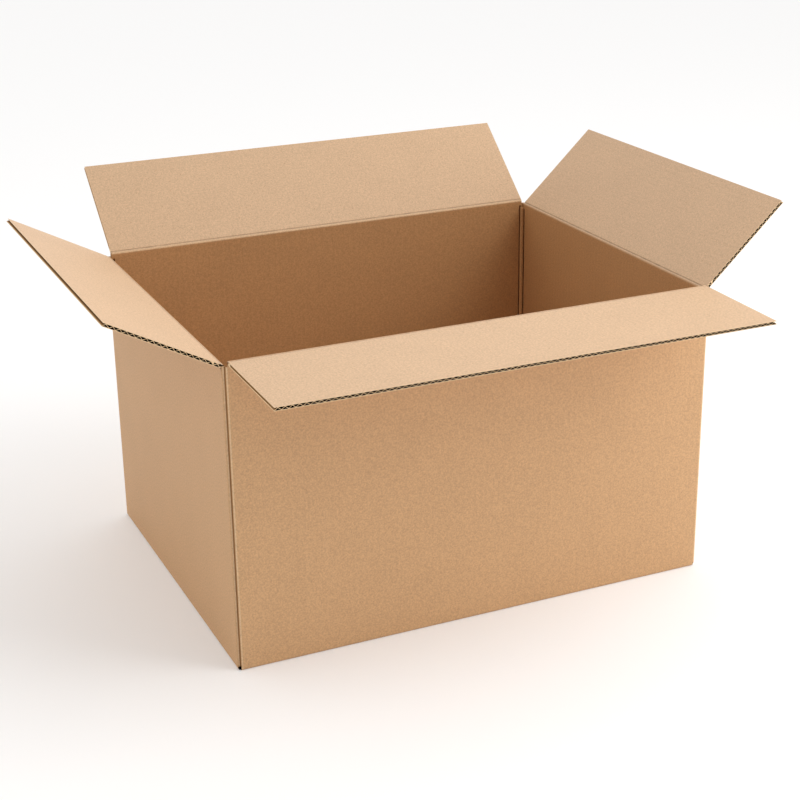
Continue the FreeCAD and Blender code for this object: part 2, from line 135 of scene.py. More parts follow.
class BoardLook(bpy.types.PropertyGroup):
    """The corrugated board: its paper, its layers and its grain."""

    outer_liner: FloatVectorProperty(
        name="Outer liner", description="Colour of the paper on the outside",
        subtype="COLOR", size=3, min=0, max=1, default=linear("#C99F73"),
    )
    inner_liner: FloatVectorProperty(
        name="Flap liner", description="Colour of the paper on the flaps' inner faces",
        subtype="COLOR", size=3, min=0, max=1, default=linear("#CDAA86"),
    )
    # Painted shade: the flaps' inner paper, made darker and browner inside the box
    shaded_inside_liner: FloatVectorProperty(
        name="Inside liner", description="Colour of the paper inside the box",
        subtype="COLOR", size=3, min=0, max=1, default=linear("#BD8F5F"),
    )
    raw_edge: FloatVectorProperty(
        name="Cut edge", description="Colour of freshly cut paper",
        subtype="COLOR", size=3, min=0, max=1, default=linear("#E6C69B"),
    )
    # Painted shade: black deep inside the flutes
    painted_shade: FloatVectorProperty(
        name="Flute hollow", description="Colour deep inside the flutes",
        subtype="COLOR", size=3, min=0, max=1, default=linear("#0A0604"),
    )
    # Painted shade: a shaded brown for a flute laid open by a cut and for the joint's open flute
    shaded_open_flute: FloatVectorProperty(
        name="Open flute", description="Colour of a flute that is cut open along its length",
        subtype="COLOR", size=3, min=0, max=1, default=linear("#A47B53"),
    )
    # Painted shade in the pressed lines and in the valleys beside the inner corners' beads
    groove_shade: FloatVectorProperty(
        name="Groove", description="Colour in the pressed lines and the open joint",
        subtype="COLOR", size=3, min=0, max=1, default=linear("#4E3019"),
    )
    # Stretched paper and painted highlight over the folds, the joint's lips and the creases' bends
    stretched_highlight: FloatVectorProperty(
        name="Stretched liner", description="Colour of the paper drawn tight over a fold",
        subtype="COLOR", size=3, min=0, max=1, default=linear("#DDBB92"),
    )
    fleck: FloatVectorProperty(
        name="Fleck", description="Colour of bark and dark fibre in the paper",
        subtype="COLOR", size=3, min=0, max=1, default=linear("#A87C52"),
    )
    liner: FloatProperty(
        name="Liner", description="Thickness of each face of the board, in millimetres",
        default=0.45, min=0.1, max=1.5,
    )
    board: FloatProperty(
        name="Board", description="Thickness of the board, in millimetres",
        default=4.2, min=1.0, max=9.0,
    )
    bead: FloatProperty(
        name="Crease bead", description="Radius of a crease's spine, in millimetres",
        default=0.6, min=0.2, max=2.0,
    )
    flute_pitch: FloatProperty(
        name="Flute pitch", description="Length of one wave, in millimetres",
        default=7.54, min=1.0, max=12.0,
    )
    medium: FloatProperty(
        name="Medium", description="Thickness of the wavy sheet between the faces, in millimetres",
        default=0.4, min=0.1, max=1.5,
    )
    burr: FloatProperty(
        name="Burr", description="Paper spread by the knife beside each cut layer, in millimetres",
        default=0.09, min=0.0, max=1.0,
    )
    crushed: FloatProperty(
        name="Crushed strip", description="Flattened flutes beside a crease, in millimetres",
        default=8.0, min=0.0, max=30.0,
    )
    washboard: FloatProperty(
        name="Washboard", description="Height of the ripple that the flutes leave, in millimetres",
        default=0.03, min=0.0, max=0.5,
    )
    grain: FloatProperty(
        name="Grain", description="How much the paper's tone changes from fibre to fibre",
        subtype="FACTOR", default=0.27, min=0.0, max=1.0,
    )


class CreaseLook(bpy.types.PropertyGroup):
    """The liner where it runs over a pressed crease."""

    reach: FloatProperty(
        name="Reach", description="Crease slope to the end of its liner strip, in millimetres",
        default=1.5, min=0.5, max=20.0,
    )
    proud: FloatProperty(
        name="Lift", description="Height of the strip above the board, in millimetres",
        default=0.06, min=0.02, max=0.5,
    )
    score: FloatProperty(
        name="Score", description="Depth of the pressed line beside the fold, in millimetres",
        default=0.5, min=0.0, max=1.5,
    )
    uneven: FloatProperty(
        name="Unevenness", description="Waviness of the pressed liner, in millimetres",
        default=0.18, min=0.0, max=0.6,
    )
    wall_slope: FloatProperty(
        name="Wall slope", description="Slope of the pressed board on the wall side",
        subtype="ANGLE", default=math.radians(45), min=0.2, max=1.4,
    )
    flap_slope: FloatProperty(
        name="Flap slope", description="Slope of the pressed board on the flap side",
        subtype="ANGLE", default=math.radians(42), min=0.2, max=1.4,
    )
    hang_limit: FloatProperty(
        name="Hang limit", description="Turn from upright at which a flap would touch its wall",
        subtype="ANGLE", default=math.radians(157), min=1.6, max=3.1,
    )


class StudioLook(bpy.types.PropertyGroup):
    """Floor, lamps and camera."""

    floor: FloatVectorProperty(
        name="Floor", description="Colour of the paper sweep under the carton",
        subtype="COLOR", size=3, min=0, max=1, default=linear("#FCFBFA"),
    )
    floor_lift: FloatProperty(
        name="Floor lift", description="Share of plain white in the floor that the camera sees",
        subtype="FACTOR", default=0.17, min=0.0, max=1.0,
    )
    ceiling: FloatProperty(
        name="Ceiling light", description="Strength of the room's light from above",
        default=0.965, min=0.0, max=6.0,
    )
    window: FloatProperty(
        name="Window light", description="Strength of the room's light from the right",
        default=1.53, min=0.0, max=6.0,
    )
    left_wall: FloatProperty(
        name="Left light", description="Strength of the room's light from the left",
        default=0.885, min=0.0, max=6.0,
    )
    back_wall: FloatProperty(
        name="Back light", description="Strength of the room's light from behind",
        default=1.37, min=0.0, max=6.0,
    )
    key: FloatProperty(
        name="Key lamp", description="Power of the high soft box at the right, in watts",
        default=22.0, min=0.0, max=400.0,
    )
    fill: FloatProperty(
        name="Fill lamp", description="Power of the low soft box at the right, in watts",
        default=14.5, min=0.0, max=400.0,
    )
    azimuth: FloatProperty(
        name="Camera azimuth", description="Camera's turn about the carton",
        subtype="ANGLE", default=math.radians(-24.03),
    )
    elevation: FloatProperty(
        name="Camera elevation", description="Camera's height angle",
        subtype="ANGLE", default=math.radians(21.19),
    )
    roll: FloatProperty(
        name="Camera roll", description="Camera's turn about its line of sight",
        subtype="ANGLE", default=math.radians(-0.81),
    )
    distance: FloatProperty(
        name="Camera distance", description="Camera to the point that it looks at",
        subtype="DISTANCE", default=2.1735, min=0.1, max=20.0,
    )
    aim: FloatVectorProperty(
        name="Camera aim", description="Point that the camera looks at",
        subtype="TRANSLATION", size=3, default=(0.0288, 0.0583, 0.1676),
    )
    lens: FloatProperty(
        name="Lens", description="Focal length, in millimetres, on a 36 mm sensor",
        default=75.39, min=10.0, max=300.0,
    )


def add_node(tree, kind, inputs=None, **settings):
    """Adds a node, sets it up and links or fills its inputs."""
    node = tree.nodes.new(kind)
    for name, setting in settings.items():
        setattr(node, name, setting)
    for name, source in (inputs or {}).items():
        if isinstance(source, bpy.types.NodeSocket):
            tree.links.new(source, node.inputs[name])
        else:
            node.inputs[name].default_value = source
    return node


def new_material(name):
    """An empty material with its shader and output joined."""
    material = bpy.data.materials.new(name)
    material.use_nodes = True
    tree = material.node_tree
    tree.nodes.clear()
    shader = add_node(tree, "ShaderNodeBsdfPrincipled")
    add_node(tree, "ShaderNodeOutputMaterial", {"Surface": shader.outputs["BSDF"]})
    return material, tree, shader


def joint_of(flap):
    for joint in frame["joints"]:
        if joint["name"] == FLAPS[flap]:
            return joint
    raise ValueError(f"{flap} has no hinge")


def crease_frame(flap):
    """Crease frame at rest: X along the crease, Y out to the free edge, Z the inner face."""
    joint = joint_of(flap)
    pivot = Vector(joint["pos_m"])
    axis = Vector(joint["axis"])
    broad = max(frame["nodes"][flap].data.polygons, key=lambda face: face.area)
    face_normal = broad.normal.normalized()
    out = axis.cross(face_normal)
    low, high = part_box(flap)
    if out.dot((low + high) / 2 - pivot) < 0:
        out.negate()
    inner = out.cross(axis)
    return Matrix((-axis, out, inner)).transposed(), pivot


def flap_size(flap):
    """Half the flap's width along its crease, and its depth to the free edge, in mm."""
    turn, pivot = crease_frame(flap)
    vertices = frame["nodes"][flap].data.vertices
    local = [turn.inverted() @ (vertex.co - pivot) for vertex in vertices]
    return max(point.x for point in local) / MM, max(point.y for point in local) / MM


def board_position(tree, turn, pivot):
    """Millimetres in the board's own frame, so the pattern turns with the flap."""
    place = add_node(tree, "ShaderNodeTexCoord")
    return add_node(
        tree, "ShaderNodeMapping",
        {
            "Vector": place.outputs["Object"],
            "Location": pivot,
            "Rotation": turn.to_euler(),
            "Scale": (MM, MM, MM),
        },
        vector_type="TEXTURE",
    ).outputs["Vector"]


def paper_grain(tree, position, paper, across_flutes, look):
    """Kraft paper: cloudy pulp, short fibres, a few dark flecks and the flutes' faint ripple."""
    # Clouds from pulp that settles unevenly on the wire
    clouds = add_node(
        tree, "ShaderNodeTexNoise",
        {"Vector": position, "Scale": 1 / CLOUD_SIZE, "Detail": 3.0},
    )
    # Fibres are 0.03 mm wide, and are drawn 2 mm wide here so that they show
    fibres = add_node(
        tree, "ShaderNodeTexNoise",
        {"Vector": position, "Scale": 1 / FIBRE_SIZE, "Detail": 3.0, "Roughness": 0.65},
    )
    tone = add_node(
        tree, "ShaderNodeMath",
        {0: clouds.outputs["Fac"], 1: CLOUD_SHARE, 2: fibres.outputs["Fac"]},
        operation="MULTIPLY_ADD",
    )
    shade = add_node(
        tree, "ShaderNodeMapRange",
        {
            "Value": tone.outputs[0], "From Min": 0.225, "From Max": 0.875,
            "To Min": 1 - look.grain, "To Max": 1 + look.grain,
        },
    )
    toned = add_node(
        tree, "ShaderNodeVectorMath", {0: paper, "Scale": shade.outputs[0]}, operation="SCALE"
    )
    # Flecks of bark, about 1 mm wide
    cells = add_node(
        tree, "ShaderNodeTexVoronoi", {"Vector": position, "Scale": 1 / FLECK_CELL}
    )
    fleck = add_node(
        tree, "ShaderNodeMapRange",
        {"Value": cells.outputs["Distance"], "From Min": 0.05, "From Max": 0.11,
         "To Min": FLECK_STRENGTH, "To Max": 0.0},
    )
    coloured = add_node(
        tree, "ShaderNodeMix",
        {"Factor": fleck.outputs[0], "A": toned.outputs[0], "B": (*look.fleck, 1)},
        data_type="RGBA",
    )
    ripple = add_node(
        tree, "ShaderNodeMath",
        {0: across_flutes, 1: 2 * math.pi / look.flute_pitch}, operation="MULTIPLY",
    )
    wave = add_node(tree, "ShaderNodeMath", {0: ripple.outputs[0]}, operation="SINE")
    height = add_node(
        tree, "ShaderNodeMath",
        {0: wave.outputs[0], 1: look.washboard * MM}, operation="MULTIPLY",
    )
    rough = add_node(
        tree, "ShaderNodeMath",
        {0: fibres.outputs["Fac"], 1: FIBRE_RELIEF * MM, 2: height.outputs[0]},
        operation="MULTIPLY_ADD",
    )
    return coloured.outputs["Result"], rough.outputs[0]


def finish_board(tree, shader, colour, height, painted_shade=None):
    """Unglazed paper: a broad soft sheen, none of it where shade is painted, and a little tooth.
    """
    bump = add_node(
        tree, "ShaderNodeBump", {"Height": height, "Strength": 1.0, "Distance": 1.0}
    )
    tree.links.new(colour, shader.inputs["Base Color"])
    tree.links.new(bump.outputs["Normal"], shader.inputs["Normal"])
    shader.inputs["Roughness"].default_value = PAPER_ROUGHNESS
    shader.inputs["IOR"].default_value = PAPER_IOR
    shader.inputs["Specular IOR Level"].default_value = PAPER_SHEEN
    if painted_shade:
        sheen = add_node(
            tree, "ShaderNodeMapRange", {"Value": painted_shade, "To Min": PAPER_SHEEN, "To Max": 0.0}
        )
        tree.links.new(sheen.outputs["Result"], shader.inputs["Specular IOR Level"])


def line_mask(tree, plan, line, near, far, most):
    """Falls from its most near an upright line to nought further off."""
    distance = add_node(
        tree, "ShaderNodeVectorMath", {0: plan, 1: line}, operation="DISTANCE"
    )
    return add_node(
        tree, "ShaderNodeMapRange",
        {"Value": distance.outputs["Value"], "From Min": near, "From Max": far,
         "To Min": most, "To Max": 0.0},
    ).outputs["Result"]


def box_mask(tree, place, low, high):
    """One where a place lies between two corners of a box, and nought outside it."""
    low, high = Vector(low), Vector(high)
    offset = add_node(
        tree, "ShaderNodeVectorMath", {0: place, 1: (low + high) / 2}, operation="SUBTRACT"
    )
    size = add_node(tree, "ShaderNodeVectorMath", {0: offset.outputs[0]}, operation="ABSOLUTE")
    beyond = add_node(
        tree, "ShaderNodeVectorMath", {0: size.outputs[0], 1: (high - low) / 2},
        operation="SUBTRACT",
    )
    past = add_node(
        tree, "ShaderNodeVectorMath", {0: beyond.outputs[0], 1: (0, 0, 0)}, operation="MAXIMUM"
    )
    distance = add_node(tree, "ShaderNodeVectorMath", {0: past.outputs[0]}, operation="LENGTH")
    return add_node(
        tree, "ShaderNodeMath", {0: distance.outputs["Value"], 1: 0.001}, operation="LESS_THAN"
    ).outputs[0]


def flap_board(flap, look):
    """Corrugated kraft board, machine glued and die cut: pale cut layers over flutes painted dark
    as shade.
    """
    material, tree, shader = new_material(f"machine_finished_kraft_{flap}")
    turn, pivot = crease_frame(flap)
    half_width, depth = flap_size(flap)
    beside = flap in FLUTES_BESIDE_CREASE
    position = board_position(tree, turn, pivot)
    axes = add_node(tree, "ShaderNodeSeparateXYZ", {"Vector": position})
    along, out, up = axes.outputs
    inner_face = look.board - look.bead
    is_inner = add_node(
        tree, "ShaderNodeMath", {0: up, 1: inner_face - look.liner / 2}, operation="GREATER_THAN"
    )
    paper = add_node(
        tree, "ShaderNodeMix",
        {
            "Factor": is_inner.outputs[0],
            "A": (*look.outer_liner, 1), "B": (*look.inner_liner, 1),
        },
        data_type="RGBA",
    )
    across = out if beside else along
    colour, height = paper_grain(tree, position, paper.outputs["Result"], across, look)
    side = add_node(tree, "ShaderNodeMath", {0: along}, operation="ABSOLUTE")
    to_side = add_node(
        tree, "ShaderNodeMath", {0: half_width, 1: side.outputs[0]}, operation="SUBTRACT"
    )
    to_edge = add_node(tree, "ShaderNodeMath", {0: depth, 1: out}, operation="SUBTRACT")
    to_cut = add_node(
        tree, "ShaderNodeMath", {0: to_side.outputs[0], 1: to_edge.outputs[0]}, operation="MINIMUM"
    )
    is_cut = add_node(
        tree, "ShaderNodeMath", {0: to_cut.outputs[0], 1: CUT_DEPTH}, operation="LESS_THAN"
    ).outputs[0]
    core_middle = (inner_face - look.bead) / 2
    core_half = (look.board - 2 * look.liner) / 2 + 0.02
    core_low, core_high = core_middle - core_half, core_middle + core_half
    # The flutes behind the cut faces, where black is painted as shade
    is_painted_flute_shade = box_mask(
        tree, position, (-half_width - 1, look.crushed - 0.1, core_low),
        (half_width + 1, depth + 1, core_high),
    )
    if beside:
        # Beside the crease the flutes are crushed flat, and their cut ends are painted on: painted
        # shade between the pale lines of a drawn wave
        in_crushed = box_mask(
            tree, position, (-half_width - 1, 2, core_low),
            (half_width + 1, look.crushed + 2, core_high),
        )
        crest = (look.board - 2 * look.liner - look.medium) / 2
        wave = add_node(
            tree, "ShaderNodeMath",
            {0: to_edge.outputs[0], 1: look.flute_pitch / 2}, operation="PINGPONG",
        )
        middle = add_node(
            tree, "ShaderNodeMath",
            {0: wave.outputs[0], 1: 4 * crest / look.flute_pitch, 2: core_middle - crest},
            operation="MULTIPLY_ADD",
        )
        on_wave = add_node(
            tree, "ShaderNodeMath",
            {0: up, 1: middle.outputs[0], 2: DRAWN_WAVE}, operation="COMPARE",
        )
        painted_flute_ends = add_node(
            tree, "ShaderNodeMath", {0: in_crushed, 1: on_wave.outputs[0]},
            operation="SUBTRACT", use_clamp=True,
        ).outputs[0]
        is_cut = add_node(
            tree, "ShaderNodeMath", {0: is_cut, 1: painted_flute_ends}, operation="SUBTRACT", use_clamp=True
        ).outputs[0]
        is_painted_flute_shade = add_node(
            tree, "ShaderNodeMath", {0: is_painted_flute_shade, 1: painted_flute_ends}, operation="MAXIMUM"
        ).outputs[0]
    # Painted shade in the flutes: the one that the cut lays open along its length is a lit brown
    # darkening with depth, the others are black
    to_open = to_edge if beside else to_side
    inside = add_node(
        tree, "ShaderNodeMapRange",
        {"Value": to_open.outputs[0], "From Min": 0.6, "From Max": 0.75 * look.flute_pitch / 2},
    )
    painted_shade = add_node(
        tree, "ShaderNodeMix",
        {"Factor": inside.outputs[0], "A": (*look.shaded_open_flute, 1), "B": (*look.painted_shade, 1)},
        data_type="RGBA",
    )
    with_hollows = add_node(
        tree, "ShaderNodeMix",
        {"Factor": is_painted_flute_shade, "A": colour, "B": painted_shade.outputs["Result"]},
        data_type="RGBA",
    )
    with_edges = add_node(
        tree, "ShaderNodeMix",
        {"Factor": is_cut, "A": with_hollows.outputs["Result"], "B": (*look.raw_edge, 1)},
        data_type="RGBA",
    )
    finish_board(tree, shader, with_edges.outputs["Result"], height, is_painted_flute_shade)
    return material


def wall_board(look):
    """Folded kraft board with upright flutes: stretched paper and painted highlight along the
    folds, painted shade where it lies open, in the valleys and in the holes at the foot.
    """
    material, tree, shader = new_material("machine_finished_kraft_walls")
    position = board_position(tree, Matrix.Identity(3), Vector())
    axes = add_node(tree, "ShaderNodeSeparateXYZ", {"Vector": position})
    low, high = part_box(BODY)
    half_length, half_width = high.x / MM, high.y / MM
    surface = add_node(tree, "ShaderNodeNewGeometry")
    facing = add_node(tree, "ShaderNodeSeparateXYZ", {"Vector": surface.outputs["True Normal"]})
    faces_end = add_node(tree, "ShaderNodeMath", {0: facing.outputs["X"]}, operation="ABSOLUTE")
    is_end = add_node(
        tree, "ShaderNodeMath", {0: faces_end.outputs[0], 1: 0.7}, operation="GREATER_THAN"
    )
    across = add_node(
        tree, "ShaderNodeMix",
        {"Factor": is_end.outputs[0], "A": axes.outputs["X"], "B": axes.outputs["Y"]},
    )
    # Distance in from the outside faces, which tells the outer liner from the inner one
    depths = []
    for axis, half in (("X", half_length), ("Y", half_width)):
        size = add_node(tree, "ShaderNodeMath", {0: axes.outputs[axis]}, operation="ABSOLUTE")
        depth = add_node(
            tree, "ShaderNodeMath", {0: half, 1: size.outputs[0]}, operation="SUBTRACT"
        )
        depths.append(depth.outputs[0])
    nearest = add_node(tree, "ShaderNodeMath", {0: depths[0], 1: depths[1]}, operation="MINIMUM")
    shallow = add_node(
        tree, "ShaderNodeMath", {0: nearest.outputs[0], 1: axes.outputs["Z"]}, operation="MINIMUM"
    )
    is_inner = add_node(
        tree, "ShaderNodeMath", {0: shallow.outputs[0], 1: look.board / 2},
        operation="GREATER_THAN",
    )
    # Inside the box the paper is the flaps' inner paper, darkened and browned as painted shade
    paper = add_node(
        tree, "ShaderNodeMix",
        {"Factor": is_inner.outputs[0], "A": (*look.outer_liner, 1), "B": (*look.shaded_inside_liner, 1)},
        data_type="RGBA",
    )
    # Places in from the outside faces, flat and with the height, and in from the joint's corner
    plan = add_node(
        tree, "ShaderNodeCombineXYZ", {"X": depths[0], "Y": depths[1], "Z": 0.0}
    ).outputs[0]
    inset = add_node(
        tree, "ShaderNodeCombineXYZ",
        {"X": depths[0], "Y": depths[1], "Z": axes.outputs["Z"]},
    ).outputs[0]
    joint_plan = add_node(
        tree, "ShaderNodeVectorMath",
        {0: position, 1: (1, 1, 0), 2: (half_length, half_width, 0)}, operation="MULTIPLY_ADD",
    ).outputs[0]
    # Paler along the upright folds and at the joint's two lips: stretched fibre and painted
    # highlight
    pale = 0.0
    for places, line, near, far, most in (
        (plan, (0, 0, 0), 1.5, 4.0, 0.7),
        (joint_plan, (1.9, look.board, 0), 0.4, 1.05, 1.0),
        (joint_plan, (4.2, 0, 0), 0.4, 1.05, 1.0),
    ):
        strip = line_mask(tree, places, line, near, far, most)
        pale = add_node(
            tree, "ShaderNodeMath", {0: pale, 1: strip}, operation="MAXIMUM"
        ).outputs[0]
    folded = add_node(
        tree, "ShaderNodeMix",
        {"Factor": pale, "A": paper.outputs["Result"], "B": (*look.stretched_highlight, 1)},
        data_type="RGBA",
    )
    colour, height = paper_grain(
        tree, position, folded.outputs["Result"], across.outputs["Result"], look
    )
    # Painted shade in the open flute at the joint, the valleys beside the beads and the holes at
    # the foot
    foot, top = 5, high.z / MM - 5
    valley = (look.board - 2, look.board - 0.15)
    beside = (look.board + 1, look.board + 7)
    hole_end, hole_face, hole_height = (0, 3.7), (2.96, 3.04), (0.2, 4.7)
    painted_shade = 0.0
    for places, box, tone, share in (
        (joint_plan, ((2.6, 5.4), (1.6, 4.3), (-1, 1)), look.shaded_open_flute, 1.0),
        (inset, (valley, beside, (foot, top)), look.groove_shade, 1.0),
        (inset, (beside, valley, (foot, top)), look.groove_shade, 0.7),
        (inset, (hole_face, hole_end, hole_height), look.painted_shade, 1.0),
        (inset, (hole_end, hole_face, hole_height), look.painted_shade, 1.0),
    ):
        dark = add_node(
            tree, "ShaderNodeMath", {0: box_mask(tree, places, *zip(*box)), 1: share},
            operation="MULTIPLY",
        ).outputs[0]
        colour = add_node(
            tree, "ShaderNodeMix", {"Factor": dark, "A": colour, "B": (*tone, 1)},
            data_type="RGBA",
        ).outputs["Result"]
        painted_shade = add_node(
            tree, "ShaderNodeMath", {0: painted_shade, 1: dark}, operation="MAXIMUM"
        ).outputs[0]
    finish_board(tree, shader, colour, height, painted_shade)
    return material


def crease_liner_paper(name, flap_paper, wall_paper, look):
    """Kraft liner pressed over a crease: stretched paper and painted highlight on the bend,
    painted shade in the scored line.
    """
    material, tree, shader = new_material(name)
    position = board_position(tree, Matrix.Identity(3), Vector())
    axes = add_node(tree, "ShaderNodeSeparateXYZ", {"Vector": position})
    wall_share = add_node(tree, "ShaderNodeAttribute", attribute_name=WALL_SHARE)
    paper = add_node(
        tree, "ShaderNodeMix",
        {"Factor": wall_share.outputs["Fac"], "A": (*flap_paper, 1), "B": (*wall_paper, 1)},
        data_type="RGBA",
    )
    bend = add_node(tree, "ShaderNodeAttribute", attribute_name=BEND_HIGHLIGHT)
    # Painted highlight over the bend, with the stretched paper there
    drawn = add_node(
        tree, "ShaderNodeMix",
        {"Factor": bend.outputs["Fac"], "A": paper.outputs["Result"], "B": (*look.stretched_highlight, 1)},
        data_type="RGBA",
    )
    # Painted shade in the pressed line
    score = add_node(tree, "ShaderNodeAttribute", attribute_name=SCORE_SHADE)
    pressed = add_node(
        tree, "ShaderNodeMix",
        {"Factor": score.outputs["Fac"], "A": drawn.outputs["Result"], "B": (*look.groove_shade, 1)},
        data_type="RGBA",
    )
    colour, height = paper_grain(
        tree, position, pressed.outputs["Result"], axes.outputs["X"], look
    )
    finish_board(tree, shader, colour, height)
    return material


def polar(radius, angle):
    """Point of a crease's section. The angle runs from straight up, outward positive."""
    return Vector((radius * math.sin(angle), radius * math.cos(angle)))


def flap_turn(flap):
    """The flap's angle from upright at rest, outward positive."""
    turn, _ = crease_frame(flap)
    out = turn.col[1]
    return math.atan2(math.hypot(out.x, out.y), out.z)


# A section is a line of (across, up, wall share, bend, score) from the wall to the flap.
# Bend is the share of painted highlight and score the share of painted shade.

def inner_section(flap, turn, board, crease):
    """Inner faces: up the wall, round the crease's spine and along the flap."""
    beside = flap in FLUTES_BESIDE_CREASE
    drawn, pressed = TONES_BESIDE_FLUTES if beside else TONES_ACROSS_FLUTES
    side = board.board - board.bead
    inward = polar(1, turn - math.pi / 2)
    wall_corner = Vector((-side, -side / math.tan(crease.wall_slope)))
    flap_corner = polar(side / math.tan(crease.flap_slope), turn) + inward * side
    section = [(*(wall_corner - Vector((0, crease.reach))), 1, 0, 0), (*wall_corner, 1, 0, 0)]
    # Round the bend the paper turns from the wall's to the flap's, with painted highlight
    # strongest midway
    for step in range(BEND_STEPS + 1):
        share = step / BEND_STEPS
        spot = polar(side, turn * share - math.pi / 2)
        section.append((*spot, 1 - share, drawn * math.sin(math.pi * share), 0))
    # The pressed line's depth also sets the share of its painted shade
    for along, depth in SCORE_LINE:
        spot = polar(along, turn) + inward * (side - depth * crease.score)
        section.append((*spot, 0, 0, depth * pressed))
    section.append((*flap_corner, 0, 0, 0))
    section.append((*(flap_corner + polar(crease.reach, turn)), 0, 0, 0))
    return [Vector(spot) for spot in section]


def outer_section(flap, turn, board, crease):
    """Outer faces: from the wall past the crease's spine to the flap."""
    relief = board.bead / math.tan(math.pi / 2 - crease.hang_limit / 2)
    under = polar(board.bead, turn + math.pi / 2)
    line = (
        Vector((board.bead, -relief - crease.reach)),
        Vector((board.bead, -relief)),
        polar(board.bead + OUTER_BULGE, (math.pi + turn) / 2),
        polar(relief, turn) + under,
        polar(relief + crease.reach, turn) + under,
    )
    return [Vector((*spot, 0, 0, 0)) for spot in line]


def rounded(line, rounds=2):
    """Cuts the corners of an open line and keeps its ends."""
    for _ in range(rounds):
        eased = [line[0]]
        for start, end in zip(line, line[1:]):
            eased += [start.lerp(end, 0.25), start.lerp(end, 0.75)]
        line = eased + [line[-1]]
    return line


def lifted(section, lift, facing):
    """The section's places lifted off the board, with their normals. The ends dip under it."""
    spots = [Vector(point[:2]) for point in section]
    last = len(spots) - 1
    raised = []
    for index, spot in enumerate(spots):
        run = spots[min(index + 1, last)] - spots[max(index - 1, 0)]
        normal = Vector((-run.y, run.x)).normalized() * facing
        height = -lift if index in (0, last) else lift
        raised.append((spot + normal * height, normal))
    return raised


def make_strip(name, section, facing, crease_line, half_width, looks, material):
    """Sweeps a section along a crease. The crushed flutes leave the bend slightly uneven."""
    pivot, outward, axis = crease_line
    board, crease = looks
    raised = lifted(section, crease.proud, facing)
    mesh = bpy.data.meshes.new(name)
    bm = bmesh.new()
    layers = {key: bm.verts.layers.float.new(key) for key in (WALL_SHARE, BEND_HIGHLIGHT, SCORE_SHADE)}
    steps = round(2 * half_width / (board.flute_pitch / ROWS_PER_FLUTE))
    rows = []
    for step in range(steps + 1):
        along = half_width * (2 * step / steps - 1)
        ripple = FLUTE_RIPPLE * math.cos(2 * math.pi * along / board.flute_pitch)
        row = []
        for index, (spot, normal) in enumerate(raised):
            _, _, wall_share, bend, score = section[index]
            uneven = noise.noise(Vector((along / WAVINESS_LENGTH, index / 5, half_width)))
            wave = ripple + uneven
            spot = spot + normal * crease.uneven * max(bend, score) * wave
            vertex = bm.verts.new(pivot + (outward * spot.x + UP * spot.y + axis * along) * MM)
            vertex[layers[WALL_SHARE]] = wall_share
            vertex[layers[BEND_HIGHLIGHT]] = bend
            # The pressed line's painted shade grows and fades slowly along the crease
            tone = noise.noise(Vector((along / TONE_LENGTH, 7, 0)))
            vertex[layers[SCORE_SHADE]] = score * (0.75 + 0.5 * tone)
            row.append(vertex)
        rows.append(row)
    for near, far in zip(rows, rows[1:]):
        for index in range(len(section) - 1):
            face = bm.faces.new((near[index], near[index + 1], far[index + 1], far[index]))
            face.smooth = True
    bmesh.ops.recalc_face_normals(bm, faces=bm.faces)
    bm.to_mesh(mesh)
    bm.free()
    mesh.materials.append(material)
    strip = bpy.data.objects.new(name, mesh)
    bpy.context.scene.collection.objects.link(strip)
    return strip


def wave_line(start, step, pitch, waves, low, high):
    """Places of the wavy sheet's middle, from trough to crest and back, with their heights."""
    line = []
    for index in range(2 * waves + 1):
        line.append((start + step * index * pitch / 2, high if index % 2 else low))
    return line


def flute_ends(flap, board):
    """Each cut face that opens the flutes: its fixed size, its wave line and its direction."""
    half_width, depth = flap_size(flap)
    low = -board.bead + board.liner + board.medium / 2
    high = board.board - board.bead - board.liner - board.medium / 2
    if flap in FLUTES_BESIDE_CREASE:
        waves = int((depth - board.crushed) / board.flute_pitch)
        line = wave_line(depth, -1, board.flute_pitch, waves, low, high)
        return [("y", side * half_width, line) for side in (-1, 1)]
    waves = round(2 * half_width / board.flute_pitch)
    pitch = 2 * half_width / waves
    return [("x", depth, wave_line(-half_width, 1, pitch, waves, low, high))]


def cut_bands(line, board):
    """Bands of spread paper on a cut face, each as a row of (along, from, to)."""
    core_low = -board.bead + board.liner
    core_high = board.board - board.bead - board.liner
    spread = WAVE_SPREAD * (board.medium / 2 + board.burr)
    wavy = [
        (along, max(middle - spread, core_low), min(middle + spread, core_high))
        for along, middle in line
    ]
    ends = (line[0][0], line[-1][0])
    lower = [(along, core_low, core_low + LINER_SPREAD * board.burr) for along in ends]
    return wavy, lower


class CARTON_OT_dress_walls(bpy.types.Operator):
    """Gives the walls and the bottom their kraft board"""

    bl_idname = "carton.dress_walls"
    bl_label = "Dress walls"

    def execute(self, context):
        frame["nodes"][BODY].material_slots[0].material = wall_board(context.scene.carton_board)
        return {"FINISHED"}


class CARTON_OT_dress_flaps(bpy.types.Operator):
    """Gives the four top flaps their kraft board with its open flutes"""

    bl_idname = "carton.dress_flaps"
    bl_label = "Dress flaps"

    def execute(self, context):
        for flap in FLAPS:
            node = frame["nodes"][flap]
            node.material_slots[0].material = flap_board(flap, context.scene.carton_board)
        return {"FINISHED"}


